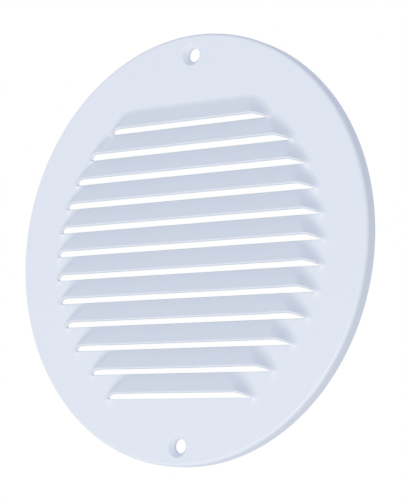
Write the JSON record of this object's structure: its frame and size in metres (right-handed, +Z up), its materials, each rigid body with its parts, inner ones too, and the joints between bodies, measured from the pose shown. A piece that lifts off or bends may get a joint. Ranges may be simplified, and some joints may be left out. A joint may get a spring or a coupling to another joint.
{
  "type": "round louvred vent cover",
  "caption": "Round sheet-metal vent cover with outward-pressed horizontal louvres, a turned-back rim and dimpled screw holes at top and bottom, for covering a duct mouth in a wall.",
  "frame": {"origin": "centre of the wall plane, in the plane of the rim's rear edge", "axes": "+Z up, +X along the louvres, the louvred face towards -Y and the wall on the +Y side"},
  "size_m": [0.16, 0.0094, 0.16],
  "materials": {
    "white_powder_coat": "white powder coat, satin"
  },
  "bodies": {
    "root": {"vent_cover": "white_powder_coat"}
  },
  "joints": []
}
